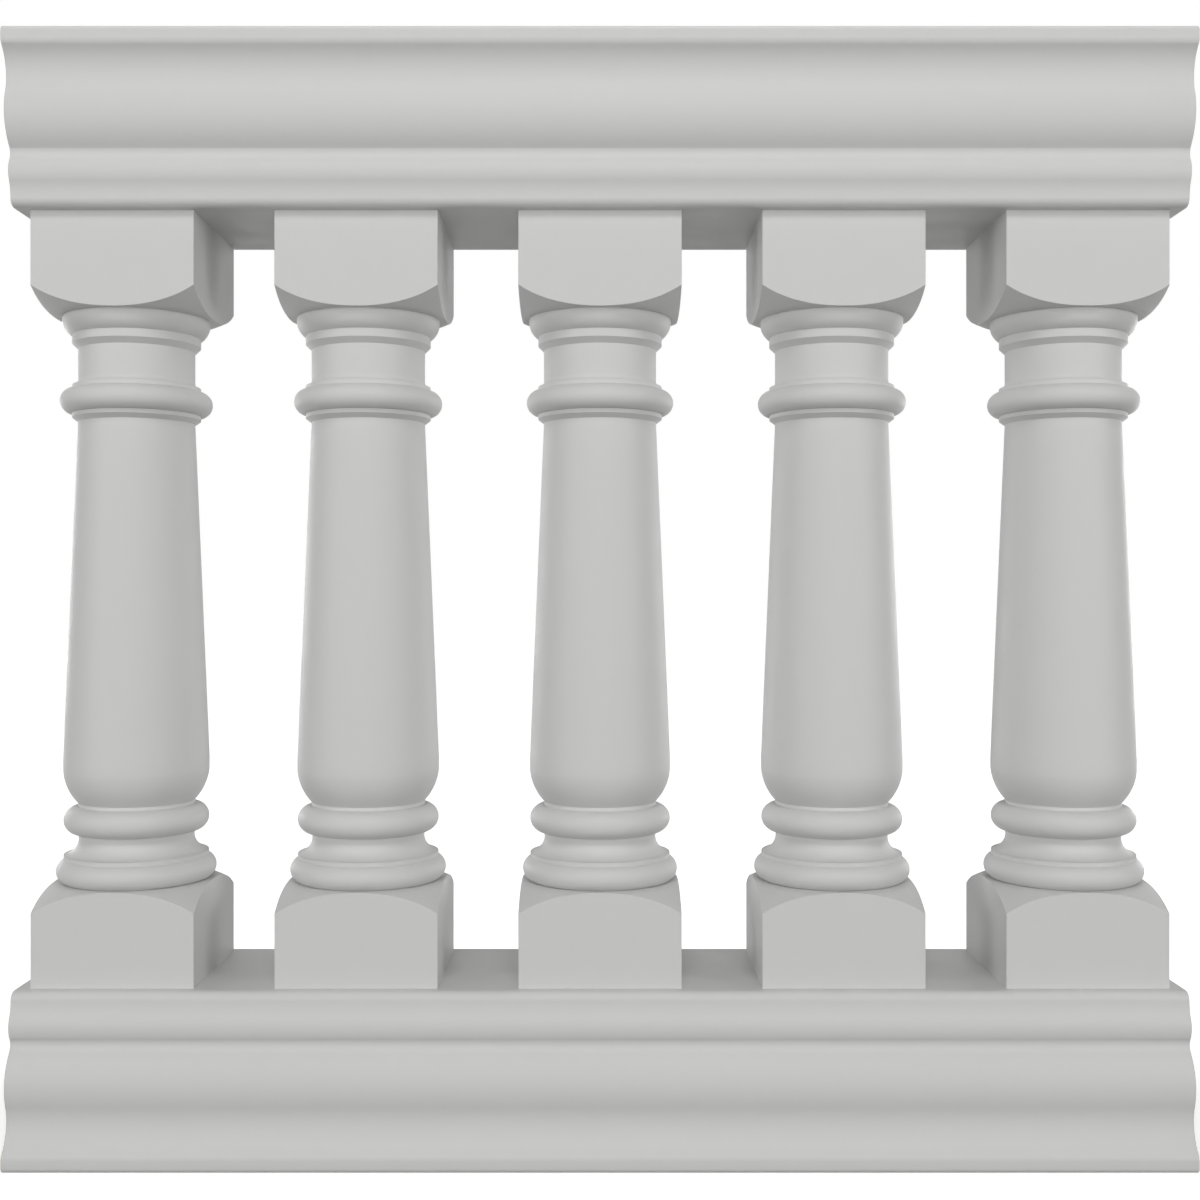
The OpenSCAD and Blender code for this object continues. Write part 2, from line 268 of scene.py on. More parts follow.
def distance(points, place):
    """Distance from a place to an outline."""
    found = []
    for a, b in zip(points, points[1:]):
        leg = b - a
        share = min(1, max(0, (place - a).dot(leg) / leg.length_squared))
        found.append((place - a - leg * share).length)
    return min(found)


def parallel(points, gap):
    """The outline that lies this far to the left of another, with what folds over taken off."""
    legs = list(zip(points, points[1:]))
    shifted = []
    for a, b in legs:
        along = (b - a).normalized()
        left = Vector((-along.y, along.x)) * gap
        shifted += [a + left, (a + b) / 2 + left, b + left]

    # Where it folds over, points come nearer to the outline than the gap.
    slack, shortest_step = 2 * SAME_PLACE, 0.2 * MM
    kept = [p for p in shifted if distance(points, p) > gap - slack]
    return [p for i, p in enumerate(kept) if i == 0 or (p - kept[i - 1]).length > shortest_step]


def edit(select="DESELECT"):
    """Goes into edit mode on points, with all of the piece selected or none of it."""
    bpy.context.tool_settings.mesh_select_mode = (True, False, False)
    bpy.ops.object.mode_set(mode="EDIT")
    bpy.ops.mesh.select_all(action=select)


def done():
    """Leaves edit mode."""
    bpy.ops.object.mode_set(mode="OBJECT")


def only(piece):
    """Makes a piece the only one that operators act on."""
    bpy.ops.object.select_all(action="DESELECT")
    piece.select_set(True)
    bpy.context.view_layer.objects.active = piece
    return piece


def started(name):
    """Names the primitive that was just added, and puts its place and size in its mesh."""
    piece = bpy.context.object
    piece.name = name
    piece.data.name = name
    only(piece)
    bpy.ops.object.transform_apply(location=True, rotation=True, scale=True)
    return piece


def trace(name, points):
    """A line of edges through the points, extruded from a single vertex."""
    bpy.ops.object.select_all(action="DESELECT")
    bpy.ops.mesh.primitive_plane_add(size=MM, location=points[0])
    piece = started(name)
    edit("SELECT")
    bpy.ops.mesh.merge(type="CENTER")
    for here, there in zip(points, points[1:]):
        bpy.ops.mesh.extrude_region_move(TRANSFORM_OT_translate={"value": there - here})
    done()
    if len(piece.data.vertices) != len(points):
        raise RuntimeError(f"{name} was not traced through all of its points")
    return piece


def block(name, low, high):
    """A box between two corners."""
    bpy.ops.object.select_all(action="DESELECT")
    low, high = Vector(low), Vector(high)
    bpy.ops.mesh.primitive_cube_add(size=1, location=(low + high) / 2, scale=high - low)
    return started(name)


def rod(name, radius, low, high, sides=48):
    """An upright cylinder from the point low up to the height high."""
    bpy.ops.object.select_all(action="DESELECT")
    place = (low[0], low[1], (low[2] + high) / 2)
    bpy.ops.mesh.primitive_cylinder_add(
        vertices=sides, radius=radius, depth=high - low[2], location=place
    )
    return started(name)


def pick(piece, kind, wanted):
    """Goes into edit mode with the vertices, edges or polygons selected that wanted() holds for."""
    only(piece)
    kinds = ("vertices", "edges", "polygons")
    for each in kinds:
        items = getattr(piece.data, each)
        items.foreach_set("select", [False] * len(items))
    chosen = [item for item in getattr(piece.data, kind) if wanted(item)]
    if not chosen:
        raise RuntimeError(f"{piece.name} has none of the {kind} to select")
    for item in chosen:
        item.select = True
    bpy.context.tool_settings.mesh_select_mode = [each == kind for each in kinds]
    bpy.ops.object.mode_set(mode="EDIT")


def along(piece, axis):
    """A test for the edges of a piece that lie along an axis, 0 to 2 for X to Z."""
    def test(edge):
        a, b = (piece.data.vertices[i].co for i in edge.vertices)
        return abs((b - a).normalized()[axis]) > 0.99
    return test


def rim_of(piece):
    """A test for the edges round the top and the bottom of an upright piece."""
    heights = [v.co.z for v in piece.data.vertices]
    low, high = min(heights), max(heights)

    def test(edge):
        a, b = (piece.data.vertices[i].co.z for i in edge.vertices)
        return abs(a - b) < SAME_PLACE and min(abs(a - low), abs(a - high)) < SAME_PLACE
    return test


def bevelled(piece, wanted, width, segments=1):
    """Bevels the edges of a piece that wanted() holds for."""
    pick(piece, "edges", wanted)
    bpy.ops.mesh.bevel(offset=width, segments=segments, affect="EDGES")
    done()
    return piece


def cut(piece, tool, operation="DIFFERENCE"):
    """Cuts a piece with a tool, which is used up and leaves its own finish on the faces it cuts."""
    only(piece)
    modifier = piece.modifiers.new("cut", "BOOLEAN")
    modifier.operation = operation
    modifier.solver = "MANIFOLD"
    modifier.material_mode = "TRANSFER"
    modifier.object = tool
    bpy.ops.object.modifier_apply(modifier=modifier.name)
    bpy.data.objects.remove(tool)
    if not piece.data.polygons:
        raise RuntimeError(f"nothing is left of {piece.name} after a cut")
    return piece


def joined(name, pieces):
    """Joins pieces into one."""
    only(pieces[0])
    for piece in pieces[1:]:
        piece.select_set(True)
    bpy.ops.object.join()
    pieces[0].name = name
    return pieces[0]


def copied(piece, name, shift):
    """A copy with its own mesh, moved by shift."""
    only(piece)
    bpy.ops.object.duplicate(linked=False)
    twin = bpy.context.object
    twin.name = name
    twin.data.name = name
    twin.location = shift
    bpy.ops.object.transform_apply(location=True)
    return twin


def flipped(piece, name, height):
    """A copy turned upside down about the level at height."""
    twin = copied(piece, name, (0, 0, 0))
    edit("SELECT")
    bpy.ops.transform.mirror(
        constraint_axis=(False, False, True), center_override=(0, 0, height)
    )
    bpy.ops.mesh.flip_normals()
    done()
    return twin


def outwards(piece):
    """Merges doubles and turns all faces outwards."""
    only(piece)
    edit("SELECT")
    bpy.ops.mesh.remove_doubles(threshold=SAME_PLACE)
    bpy.ops.mesh.normals_make_consistent(inside=False)
    done()
    return piece


def smooth(piece, degrees=28):
    """Shades a piece smooth, with edges sharper than this left crisp and flat faces left flat."""
    only(piece)
    bpy.ops.object.shade_smooth_by_angle(angle=math.radians(degrees))
    modifier = piece.modifiers.new("flats", "WEIGHTED_NORMAL")
    modifier.keep_sharp = True
    bpy.ops.object.modifier_apply(modifier=modifier.name)
    return piece


def finished(piece, base, *zones):
    """Gives a piece its base finish, and other finishes on the faces that their tests hold for."""
    piece.data.materials.append(finish_named(base))
    for name, wanted in zones:
        piece.data.materials.append(finish_named(name))
        pick(piece, "polygons", wanted)
        piece.active_material_index = len(piece.data.materials) - 1
        bpy.ops.object.material_slot_assign()
        done()
    return piece


def placed(piece, slot, *nodes):
    """Gives a finished piece its body, and hides the nodes it stands for."""
    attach(piece, "root")
    if nodes:
        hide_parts(*nodes)
    return piece


# ---- Materials ----


def new_material(name):
    """An empty material with its output and Principled shader, as (tree, shader)."""
    material = bpy.data.materials.new(name)
    material.use_nodes = True
    tree = material.node_tree
    tree.nodes.clear()
    shader = node(tree, "ShaderNodeBsdfPrincipled")
    node(tree, "ShaderNodeOutputMaterial", inputs={"Surface": shader.outputs["BSDF"]})
    return material, tree, shader


def node(tree, kind, settings=None, inputs=None):
    """Adds a node. Inputs are plain values, or the sockets that feed them."""
    made = tree.nodes.new(kind)
    for key, value in (settings or {}).items():
        setattr(made, key, value)
    for key, value in (inputs or {}).items():
        if isinstance(value, bpy.types.NodeSocket):
            tree.links.new(value, made.inputs[key])
        else:
            made.inputs[key].default_value = value
    return made


def place_of(tree):
    """A point's place on the object, in metres."""
    return node(tree, "ShaderNodeTexCoord").outputs["Object"]


def noise(tree, size, detail=2.0, vector=None):
    """Noise whose blots are about this large, from 0 to 1."""
    return node(tree, "ShaderNodeTexNoise", inputs={
        "Vector": vector or place_of(tree), "Scale": 1 / size, "Detail": detail,
    }).outputs["Fac"]


def blend(tree, share, first, second):
    """A colour that goes from the first to the second as share goes from 0 to 1."""
    return node(tree, "ShaderNodeMix", {"data_type": "RGBA"}, {
        "Factor": share, "A": first, "B": second,
    }).outputs["Result"]


def between(tree, value, low, high, first, last):
    """Maps a value from low..high to first..last."""
    return node(tree, "ShaderNodeMapRange", inputs={
        "Value": value, "From Min": low, "From Max": high, "To Min": first, "To Max": last,
    }).outputs["Result"]


def bump(tree, shader, height, distance, strength=1.0):
    """Lets a pattern of height raise the surface by up to distance."""
    made = node(tree, "ShaderNodeBump", inputs={
        "Height": height, "Strength": strength, "Distance": distance,
    })
    tree.links.new(made.outputs["Normal"], shader.inputs["Normal"])


def shade(colour, factor):
    """A lighter or darker RGBA of a colour."""
    return [min(1, c * factor) for c in colour] + [1]


def gel_coat(colours):
    """Satin polyester gel coat, sprayed in a waxed mould: even, with a soft and broad sheen."""
    material, tree, shader = new_material("satin_gel_coat")
    # Glass strands print through the coat as a very faint mottle about 25 mm across.
    mottle = noise(tree, 25 * MM)
    # The wax leaves an orange-peel ripple about 2.5 mm across.
    ripple = noise(tree, 2.5 * MM)
    tree.links.new(
        blend(tree, mottle, shade(colours.gel_coat, 0.985), shade(colours.gel_coat, 1.015)),
        shader.inputs["Base Color"],
    )
    tree.links.new(between(tree, mottle, 0.3, 0.7, 0.52, 0.60), shader.inputs["Roughness"])
    shader.inputs["IOR"].default_value = 1.5
    bump(tree, shader, ripple, 0.05 * MM, 0.4)
    return material


def laminate(colours):
    """Chopped-strand laminate, rolled out by hand: bundles of glass show in a glossy resin."""
    material, tree, shader = new_material("chopped_strand_laminate")
    place = place_of(tree)
    # Strands are about 50 mm long and 2 mm wide, and lie in every direction.
    strands = None
    for turn in (0.3, 1.4, 2.5):
        stretched = node(tree, "ShaderNodeMapping", {"vector_type": "TEXTURE"}, {
            "Vector": place, "Rotation": (turn, 0.4, turn), "Scale": (12, 1, 1),
        }).outputs["Vector"]
        streak = noise(tree, 2 * MM, 0.0, stretched)
        if strands:
            strands = node(tree, "ShaderNodeMath", {"operation": "MAXIMUM"}, {
                0: strands, 1: streak,
            }).outputs[0]
        else:
            strands = streak
    shine = between(tree, strands, 0.45, 0.75, 0, 1)
    tree.links.new(
        blend(tree, shine, shade(colours.laminate, 0.82), shade(colours.laminate, 1.1)),
        shader.inputs["Base Color"],
    )
    tree.links.new(between(tree, shine, 0, 1, 0.3, 0.5), shader.inputs["Roughness"])
    shader.inputs["IOR"].default_value = 1.54
    bump(tree, shader, shine, 0.25 * MM, 0.8)
    return material


def cut_laminate(colours):
    """Laminate sawn and sanded: dull, with the ends of the glass bundles as fine specks."""
    material, tree, shader = new_material("sanded_laminate_edge")
    specks = noise(tree, 0.8 * MM, 3.0)
    tree.links.new(
        blend(tree, between(tree, specks, 0.35, 0.65, 0, 1),
              shade(colours.cut_laminate, 0.8), shade(colours.cut_laminate, 1.12)),
        shader.inputs["Base Color"],
    )
    shader.inputs["Roughness"].default_value = 0.85
    bump(tree, shader, specks, 0.08 * MM, 0.6)
    return material


def bonding_paste(colours):
    """Filled polyester paste, squeezed out and left: dull, with small pits and ridges."""
    material, tree, shader = new_material("filled_bonding_paste")
    lumps = noise(tree, 3 * MM, 4.0)
    tree.links.new(
        blend(tree, lumps, shade(colours.paste, 0.9), shade(colours.paste, 1.08)),
        shader.inputs["Base Color"],
    )
    shader.inputs["Roughness"].default_value = 0.7
    bump(tree, shader, lumps, 0.3 * MM, 0.7)
    return material


def galvanised_steel(colours):
    """Hot-dip galvanised steel: crystals of zinc, each with its own grey and its own sheen."""
    material, tree, shader = new_material("hot_dip_galvanised_steel")
    # Crystals are about 9 mm across.
    crystals = node(tree, "ShaderNodeTexVoronoi", inputs={
        "Vector": place_of(tree), "Scale": 1 / (9 * MM),
    }).outputs["Color"]
    grey = node(tree, "ShaderNodeSeparateColor", inputs={"Color": crystals}).outputs["Red"]
    tree.links.new(
        blend(tree, grey, shade(colours.galvanised, 0.78), shade(colours.galvanised, 1.15)),
        shader.inputs["Base Color"],
    )
    tree.links.new(between(tree, grey, 0, 1, 0.55, 0.38), shader.inputs["Roughness"])
    shader.inputs["Metallic"].default_value = 1.0
    bump(tree, shader, noise(tree, 0.9 * MM), 0.04 * MM, 0.5)
    return material


def zinc_plate(colours):
    """Bright zinc-plated steel: even and fairly shiny, with a faint cloud in the sheen."""
    material, tree, shader = new_material("bright_zinc_plate")
    cloud = noise(tree, 6 * MM, 3.0)
    tree.links.new(
        blend(tree, cloud, shade(colours.zinc, 0.88), shade(colours.zinc, 1.1)),
        shader.inputs["Base Color"],
    )
    tree.links.new(between(tree, cloud, 0.3, 0.7, 0.26, 0.4), shader.inputs["Roughness"])
    shader.inputs["Metallic"].default_value = 1.0
    bump(tree, shader, noise(tree, 0.6 * MM), 0.02 * MM, 0.4)
    return material


MATERIALS = {}
FINISHES = (gel_coat, laminate, cut_laminate, bonding_paste, galvanised_steel, zinc_plate)


def finish_named(name):
    """A finish by its short name, made when it is first asked for."""
    if name not in MATERIALS:
        maker = {maker.__name__: maker for maker in FINISHES}[name]
        MATERIALS[name] = maker(bpy.context.scene.balustrade_colours)
    return MATERIALS[name]


# ---- Rails ----


def rail_front(s, height):
    """Front half of the rail's outline, from the flat side to the middle of the lip's crown."""
    fascia, lip = s.fascia_projection, s.lip_projection
    cyma_start = (fascia + s.cyma_foot, s.valley_top)
    cyma_turn = (lip - s.cyma_setback, height - s.cyma_drop)
    cyma_end = (lip - s.nosing_setback, height - s.lip_height)
    return outline([
        (fascia - s.fascia_round, 0, s.fascia_round),
        (fascia, s.fascia_round, -s.cove_radius),
        (fascia + s.bead_foot, s.cove_top, s.bead_radius),
        (fascia + s.bead_head, s.bead_top, -s.valley_radius),
        (*cyma_start, bulge_radius(cyma_start, cyma_turn, s.cyma_belly)),
        (*cyma_turn, -bulge_radius(cyma_turn, cyma_end, s.cyma_throat)),
        (*cyma_end, s.nosing_radius),
        (lip, cyma_end[1] + s.nosing_height, 0),
        (lip, height - s.lip_round, s.lip_round),
        (lip - s.lip_round, height, 0),
    ])


def rail_section(s, height, half_block):
    """Outer and inner outlines of the moulding, each from the front edge of the opening to the back."""
    front = [Vector((half_block + p.x, p.y)) for p in rail_front(s, height)]
    edge = s.plate_opening / 2
    outer_half = [Vector((edge, 0))] + front + [Vector((0, height))]
    inner_half = parallel(outer_half, s.wall)
    inner_half = [Vector((edge, s.wall))] + inner_half[1:-1] + [Vector((0, height - s.wall))]

    def mirrored(half):
        return half + [Vector((-p.x, p.y)) for p in reversed(half[:-1])]

    return mirrored(outer_half), mirrored(inner_half)


def chamfered_ends(piece, width):
    """Sands the two ends of a piece that lies along X: a chamfer all round, which adds its width."""
    for side in (-1, 1):
        pick(piece, "polygons", lambda f: f.normal.x * side > 0.9)
        bpy.ops.mesh.inset(thickness=width)
        bpy.ops.transform.translate(value=(side * width, 0, 0))
        done()


class OBJECT_OT_rail_mouldings(Operator):
    """Extrude the hollow section of both rails, with sanded sawn ends"""

    bl_idname = "object.balustrade_rail_mouldings"
    bl_label = "Rail Mouldings"

    def execute(self, context):
        sizes = context.scene.balustrade_rails
        low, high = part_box("top_rail")
        half_block = high.y - sizes.lip_projection
        outer, inner = rail_section(sizes, high.z - low.z, half_block)
        start = low.x + sizes.cut_edge

        line = outer + inner[::-1] + outer[:1]
        piece = trace("top_rail_moulding", [Vector((start, p.x, low.z + p.y)) for p in line])
        edit("SELECT")
        bpy.ops.mesh.remove_doubles(threshold=SAME_PLACE)
        bpy.ops.mesh.edge_face_add()
        bpy.ops.mesh.select_all(action="SELECT")
        span = high.x - low.x - 2 * sizes.cut_edge
        bpy.ops.mesh.extrude_region_move(TRANSFORM_OT_translate={"value": (span, 0, 0)})
        done()
        outwards(piece)
        chamfered_ends(piece, sizes.cut_edge)

        def sawn(face):
            return abs(face.normal.x) > 0.5

        def inside(face):
            place = Vector((face.center.y, face.center.z - low.z))
            return not sawn(face) and distance(outer, place) > sizes.wall / 2

        finished(piece, "gel_coat", ("laminate", inside), ("cut_laminate", sawn))
        smooth(piece)
        placed(piece, "moulded_frp", "top_rail")
        lower = flipped(piece, "bottom_rail_moulding", MIDDLE.z)
        placed(lower, "moulded_frp", "bottom_rail")
        return {"FINISHED"}


def rod_holes(low, high, radius):
    """Upright cylinders where the rods pass, from one height to another, to cut with."""
    return joined("rod_holes", [rod("rod_hole", radius, (x, 0, low), high) for x in BALUSTER_X])


class OBJECT_OT_closing_plates(Operator):
    """Saw and drill the plates that close the rails, and bond them flush with the mouldings"""

    bl_idname = "object.balustrade_closing_plates"
    bl_label = "Closing Plates"

    def execute(self, context):
        sizes = context.scene.balustrade_rails
        low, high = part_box("top_rail_soffit")
        # The bond line is filled and faired, so the plate is as wide as the opening.
        half = sizes.plate_opening / 2
        edge = sizes.cut_edge
        piece = block("top_closing_plate", (low.x + edge, -half, low.z), (high.x - edge, half, high.z))
        chamfered_ends(piece, edge)
        hole = context.scene.balustrade_steel.hole / 2
        finished(
            piece, "gel_coat",
            ("laminate", lambda f: f.normal.z > 0.9),
            ("cut_laminate", lambda f: abs(f.normal.x) > 0.5),
        )
        holes = rod_holes(low.z - edge, high.z + edge, hole)
        finished(holes, "cut_laminate")
        cut(piece, holes)
        smooth(piece)
        placed(piece, "moulded_frp", "top_rail_soffit")
        lower = flipped(piece, "bottom_closing_plate", MIDDLE.z)
        placed(lower, "moulded_frp", "bottom_rail_deck")
        return {"FINISHED"}


class OBJECT_OT_bonding_paste(Operator):
    """Run beads of bonding paste along the closing plates, inside the rails"""

    bl_idname = "object.balustrade_bonding_paste"
    bl_label = "Bonding Paste"

    def execute(self, context):
        steel = context.scene.balustrade_steel
        half = context.scene.balustrade_rails.plate_opening / 2
        low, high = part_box("top_rail_soffit")
        # The beads stop a little inside the sawn ends.
        step_back = 4 * MM
        width, height = steel.paste_width, steel.paste_height
        piece = block(
            "front_paste_bead",
            (low.x + step_back, -half - width / 2, high.z),
            (high.x - step_back, -half + width / 2, high.z + height),
        )
        top = high.z + height / 2

        def upper_edge(edge):
            return all(piece.data.vertices[i].co.z > top for i in edge.vertices)

        bevelled(piece, upper_edge, height * 0.9, 5)
        # A cut about every 7.5 mm lets the bead wander.
        pick(piece, "edges", along(piece, 0))
        bpy.ops.mesh.subdivide(number_cuts=120)
        done()
        pick(piece, "vertices", lambda v: v.co.z > high.z + height / 4)
        bpy.ops.transform.vertex_random(offset=steel.paste_lumps, seed=3)
        bpy.ops.mesh.vertices_smooth(factor=0.6, repeat=2)
        done()
        finished(outwards(piece), "bonding_paste")
        smooth(piece, degrees=50)
        beads = [piece, copied(piece, "back_paste_bead", (0, 2 * half, 0))]
        top_bead = joined("top_bonding_paste", beads)
        placed(top_bead, "moulded_frp")
        lower = flipped(top_bead, "bottom_bonding_paste", MIDDLE.z)
        placed(lower, "moulded_frp")
        return {"FINISHED"}


# ---- Balusters ----


def base_corners(s, half_block, shoulder):
    """Turned outline of the base, from the bottom block to the shaft's foot."""
    torus_top = s.block_height + s.lower_torus_height
    fillet_top = torus_top + s.base_fillet_height
    waist_z = fillet_top + s.scotia_height
    upper_z = waist_z + s.waist_height
    upper_top = upper_z + s.upper_torus_height
    foot_z = upper_top + s.shaft_fillet_height
    foot_top = foot_z + s.foot_height
    fillet_radius = s.lower_torus_edge + s.quirk
    torus_edge = s.waist_radius + s.upper_torus_step
    foot_step = s.waist_radius + s.quirk
    return [
        (*shoulder, s.pommel_radius),
        (half_block, s.block_height, 0),
        (s.lower_torus_edge, s.block_height, s.lower_torus_curve),
        (s.lower_torus_edge, torus_top, 0),
        (fillet_radius, torus_top, 0),
        (fillet_radius, fillet_top, 0),
        (fillet_radius - s.scotia_step, fillet_top, -s.scotia_curve),
        (s.waist_radius, waist_z, 0),
        (s.waist_radius, upper_z, 0),
        (torus_edge, upper_z, s.upper_torus_height / 2),
        (torus_edge, upper_top, 0),
        (foot_step, upper_top, 0),
        (foot_step, foot_z, s.foot_curve),
        (s.foot_radius, foot_top, 0),
        (s.foot_radius, foot_top + s.foot_band, 0),
    ]


def cap_corners(s, half_block, shoulder, height):
    """Turned outline of the cap, from the shaft's top to the top block."""
    ovolo_top = height - s.block_height - s.ovolo_band
    ovolo_z = ovolo_top - s.ovolo_height
    ring_z = ovolo_z - s.ring_height
    necking_top = ring_z - s.necking_end
    necking_z = necking_top - s.necking_height
    astragal_top = necking_z - s.necking_end - s.collar_height
    astragal_z = astragal_top - s.astragal_height
    shaft_top = astragal_z - s.collar_height - s.collar_slope
    return [
        (s.neck_radius, shaft_top, 0),
        (s.collar_radius, astragal_z - s.collar_height, 0),
        (s.collar_radius, astragal_z, 0),
        (s.collar_radius + s.quirk, astragal_z, s.astragal_curve),
        (s.collar_radius + s.quirk, astragal_top, 0),
        (s.collar_radius, astragal_top, 0),
        (s.collar_radius, astragal_top + s.collar_height, -s.necking_end),
        (s.neck_radius, necking_z, 0),
        (s.neck_radius, necking_top, 0),
        (s.collar_radius, ring_z, 0),
        (s.collar_radius, ovolo_z, 0),
        (s.collar_radius + s.quirk, ovolo_z, s.ovolo_curve),
        (s.ovolo_radius, ovolo_top, 0),
        (s.ovolo_radius, ovolo_top + s.ovolo_band, 0),
        (half_block, height - s.block_height, s.pommel_radius),
        (shoulder[0], height - shoulder[1], 0),
    ]


def turned(name, points, steps):
    """A closed body of revolution round the Z axis, from an outline that starts and ends on it."""
    piece = trace(name, [Vector((p.x, 0, p.y)) for p in points])
    edit("SELECT")
    bpy.ops.mesh.spin(
        steps=steps, angle=FULL_TURN, center=(0, 0, 0), axis=(0, 0, 1), use_auto_merge=True
    )
    done()
    return outwards(piece)


def core_points(s, half_block, height):
    """Outline of the round hollow, with its two wide ends level with the bottoms of the pockets."""
    wall = s.wall
    pocket = s.block_height - s.pommel_drop - wall
    torus_top = s.block_height + s.lower_torus_height + s.base_fillet_height
    foot_z = torus_top + s.scotia_height + s.waist_height + s.upper_torus_height
    foot_z += s.shaft_fillet_height
    foot_top = foot_z + s.foot_height
    ring_z = height - s.block_height - s.ovolo_band - s.ovolo_height - s.ring_height
    # The laminate bridges the astragal and its collars, so the hollow's taper ends inside them.
    taper_top = ring_z - s.necking_height - 3 * s.necking_end - s.astragal_height
    wide = half_block - 2 * wall
    waist, foot, neck = (r - wall for r in (s.waist_radius, s.foot_radius, s.neck_radius))
    # The ends overlap the pockets a little, so that the two cuts meet.
    overlap = 1 * MM
    return outline([
        (0, pocket - overlap, 0), (wide, pocket - overlap, 0), (wide, pocket, 0),
        (waist, torus_top, 0), (waist, foot_z, 0), (foot, foot_top, 0),
        (foot, foot_top + s.foot_band, 0), (neck, taper_top, 0), (neck, ring_z, 0),
        (wide, height - pocket, 0), (wide, height - pocket + overlap, 0),
        (0, height - pocket + overlap, 0),
    ])


class OBJECT_OT_balusters(Operator):
    """Turn one square-to-round baluster, cut it to its blocks, hollow it and copy it along the rail"""

    bl_idname = "object.balustrade_balusters"
    bl_label = "Balusters"

    def execute(self, context):
        s = context.scene.balustrade_balusters
        size = size_of(BALUSTERS[0])
        half, height = size.x / 2, size.z
        shoulder = (half * math.sqrt(2), s.block_height - s.pommel_drop)
        blank = shoulder[0] + 4 * MM
        beyond = 5 * MM
        points = outline(
            [(0, -beyond, 0), (blank, -beyond, 0), (blank, shoulder[1], 0)]
            + base_corners(s, half, shoulder)
            + cap_corners(s, half, shoulder, height)
            + [(blank, height - shoulder[1], 0), (blank, height + beyond, 0), (0, height + beyond, 0)]
        )
        body = finished(turned("turned_baluster", points, s.spin_steps), "gel_coat")
        square = block("square_blank", (-half, -half, 0), (half, half, height))
        bevelled(square, along(square, 2), s.block_edge, 3)
        cut(body, finished(square, "gel_coat"), "INTERSECT")
        core = turned("round_hollow", core_points(s, half, height), s.spin_steps)
        cut(body, finished(core, "laminate"))
        pocket = half - s.wall
        depth = s.block_height - s.pommel_drop - s.wall
        for low, high in ((-beyond, depth), (height - depth, height + beyond)):
            tool = block("pocket", (-pocket, -pocket, low), (pocket, pocket, high))
            bevelled(tool, along(tool, 2), s.wall, 4)
            cut(body, finished(tool, "laminate"))
        smooth(outwards(body))
        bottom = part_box(BALUSTERS[0])[0].z
        for x, node_name in zip(BALUSTER_X, BALUSTERS):
            piece = copied(body, "turned_" + node_name, (x, 0, bottom))
            placed(piece, "moulded_frp", node_name)
        bpy.data.objects.remove(body)
        return {"FINISHED"}


# ---- Steel ----


class OBJECT_OT_stiffening_tubes(Operator):
    """Roll the square steel tubes that stiffen the rails, and drill them for the rods"""

    bl_idname = "object.balustrade_stiffening_tubes"
    bl_label = "Stiffening Tubes"

    def execute(self, context):
        s = context.scene.balustrade_steel
        low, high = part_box("top_rail_tube")
        wall = Vector((-s.tube_wall, s.tube_wall, s.tube_wall))
        piece = block("top_stiffening_tube", low, high)
        bevelled(piece, along(piece, 0), s.tube_corner, 5)
        bore = block("tube_bore", low + wall, high - wall)
        bevelled(bore, along(bore, 0), s.tube_corner - s.tube_wall, 4)
        cut(piece, bore)
        cut(piece, rod_holes(low.z - s.tube_wall, high.z + s.tube_wall, s.hole / 2))
        finished(piece, "galvanised_steel")
        smooth(piece)
        placed(piece, "galvanised_steel", "top_rail_tube")
        lower = flipped(piece, "bottom_stiffening_tube", MIDDLE.z)
        placed(lower, "galvanised_steel", "bottom_rail_tube")
        return {"FINISHED"}


def thread(s, radius, low, high):
    """A threaded length that stands on the Z axis between two heights."""
    pitch, root = s.thread_pitch, radius - s.thread_depth
    # Two turns stand over at each end, and are cut off again.
    spare_turns = 2
    start = low - spare_turns * pitch
    # Flank, crest, flank and root of one turn, each up to a share of the pitch.
    shares = ((root, 0), (radius, 5 / 16), (radius, 7 / 16), (root, 12 / 16), (root, 1))
    piece = trace("thread", [Vector((r, 0, start + pitch * share)) for r, share in shares])
    modifier = piece.modifiers.new("helix", "SCREW")
    modifier.axis = "Z"
    modifier.angle = FULL_TURN
    modifier.screw_offset = pitch
    modifier.iterations = math.ceil((high - low) / pitch) + 2 * spare_turns
    modifier.steps = modifier.render_steps = 32
    bpy.ops.object.modifier_apply(modifier=modifier.name)
    edit("SELECT")
    bpy.ops.mesh.remove_doubles(threshold=SAME_PLACE)
    for height, below in ((low, True), (high, False)):
        bpy.ops.mesh.select_all(action="SELECT")
        bpy.ops.mesh.bisect(
            plane_co=(0, 0, height), plane_no=(0, 0, 1), use_fill=True,
            clear_inner=below, clear_outer=not below,
        )
    done()
    return outwards(piece)


